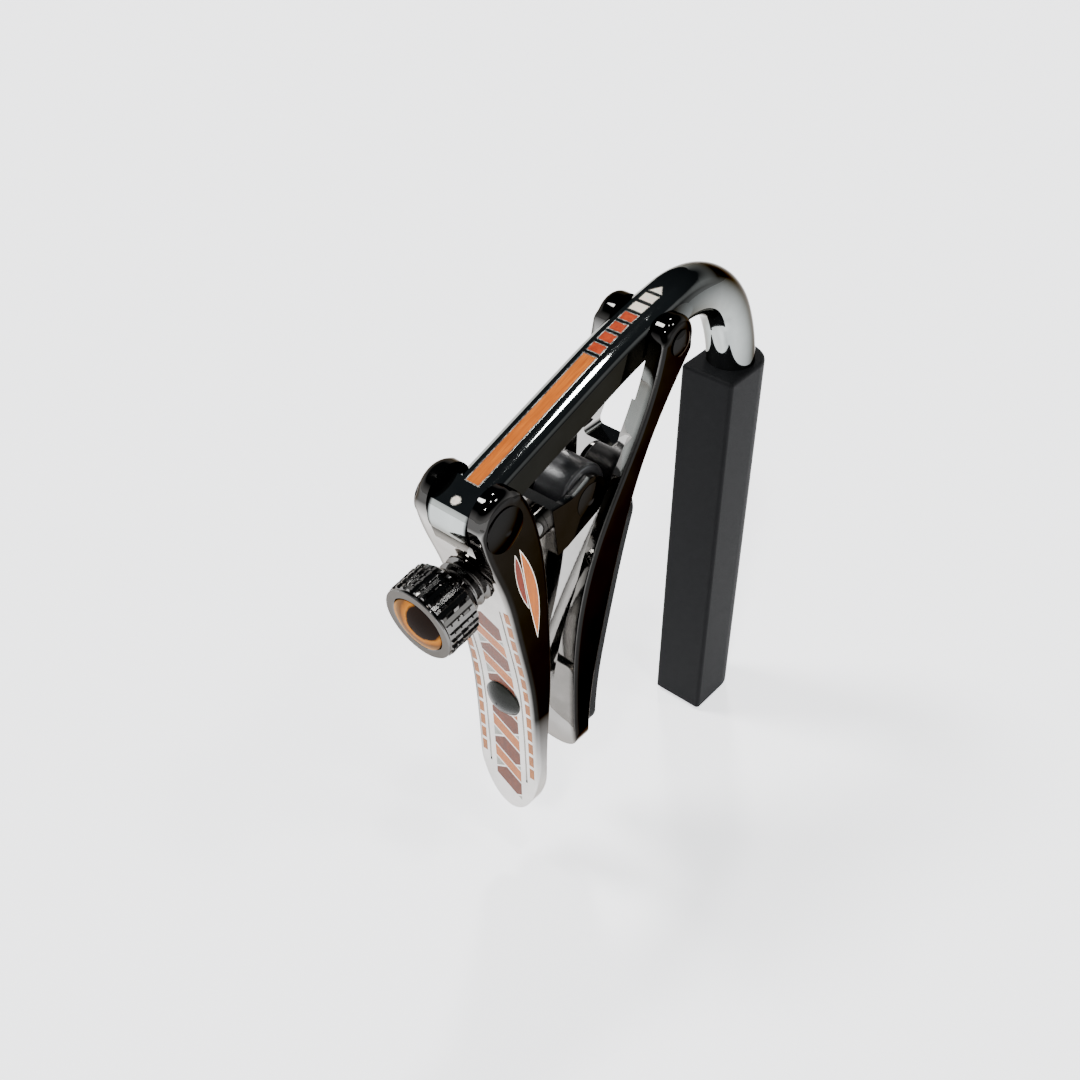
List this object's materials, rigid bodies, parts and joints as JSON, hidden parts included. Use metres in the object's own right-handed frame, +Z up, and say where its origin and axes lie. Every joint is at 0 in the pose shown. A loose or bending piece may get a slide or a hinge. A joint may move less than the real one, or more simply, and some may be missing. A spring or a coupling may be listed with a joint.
{
  "type": "guitar capo",
  "caption": "Over-centre lever capo: bent bar with a rubber string sleeve, forked neck rest, cam roller on a thumbscrew and an inlaid lever.",
  "frame": {"origin": "centre of the sleeve's flat face that presses the strings", "axes": "+X away from the strings through the bar, +Y along the neck, +Z up the string bar to the bend; -X is the pressing direction"},
  "size_m": [0.0606, 0.011, 0.0729],
  "materials": {
    "black_chrome": "mirror black chrome",
    "lever_chrome": "mirror black chrome",
    "pin_chrome": "mirror black chrome",
    "rest_chrome": "mirror black chrome",
    "rest_pin_chrome": "mirror black chrome",
    "roller_pin_chrome": "mirror black chrome",
    "carriage_chrome": "mirror black chrome",
    "screw_chrome": "mirror black chrome",
    "knob_chrome": "mirror black chrome, knurled",
    "sleeve_rubber": "matte charcoal",
    "pad_rubber": "matte charcoal",
    "roller_plastic": "satin black",
    "orange_enamel": "polished inlay with fine grain",
    "red_enamel": "polished inlay",
    "pearl": "pearl",
    "pearl_dot": "pearl",
    "leaf_orange": "polished inlay",
    "leaf_red": "polished inlay",
    "salmon_enamel": "polished inlay",
    "brown_enamel": "polished inlay",
    "grey_enamel": "polished inlay",
    "dash_enamel": "polished inlay",
    "onyx": "polished black cabochon",
    "amber_stone": "banded amber cabochon"
  },
  "bodies": {
    "bar": {"main_bar": "black_chrome", "string_sleeve": "sleeve_rubber", "leg_inlay_strip": "orange_enamel", "leg_inlay_red": "red_enamel", "leg_inlay_pearl": "pearl", "leg_inlay_dot": "pearl_dot"},
    "rest": {"neck_rest": "rest_chrome", "neck_rest_pad": "pad_rubber", "neck_rest_pin": "rest_pin_chrome"},
    "lever": {"lever": "lever_chrome", "lever_pin": "pin_chrome", "cheek_leaf_orange": "leaf_orange", "cheek_leaf_red": "leaf_red", "handle_inlay_bars": "salmon_enamel", "handle_inlay_short_bars": "brown_enamel", "handle_inlay_triangles": "grey_enamel", "handle_inlay_dashes": "dash_enamel", "handle_stone": "onyx"},
    "carriage": {"roller_carriage": "carriage_chrome", "roller_pin": "roller_pin_chrome"},
    "screw": {"thumbscrew": "screw_chrome", "thumbscrew_knob": "knob_chrome", "knob_stone": "amber_stone"},
    "roller": {"roller": "roller_plastic"}
  },
  "joints": [
    {"name": "lever_swing", "type": "hinge", "parent": "bar", "child": "lever", "pos_m": [-0.04191, 0, 0.03234], "axis": [0, 1, 0], "range_deg": [0, 110]},
    {"name": "neck_rest_swing", "type": "hinge", "parent": "bar", "child": "rest", "pos_m": [-0.01355, 0, 0.04058], "axis": [0, 1, 0], "range_deg": [0, 17]},
    {"name": "carriage_slide", "type": "slide", "parent": "lever", "child": "carriage", "axis": [-0.9888, 0, -0.1495], "range_m": [0, 0.003]},
    {"name": "screw_turn", "type": "hinge", "parent": "carriage", "child": "screw", "pos_m": [-0.02617, 0, 0.02598], "axis": [-0.9888, 0, -0.1495], "range_deg": [0, 1080]},
    {"name": "roller_spin", "type": "hinge", "parent": "carriage", "child": "roller", "pos_m": [-0.02617, 0, 0.02598], "axis": [0, 1, 0], "continuous": true}
  ],
  "couplings": [
    {"joint": "neck_rest_swing", "follows": "lever_swing", "ratio": 0.15},
    {"joint": "screw_turn", "follows": "carriage_slide", "rad_per_m": 6283.2}
  ]
}
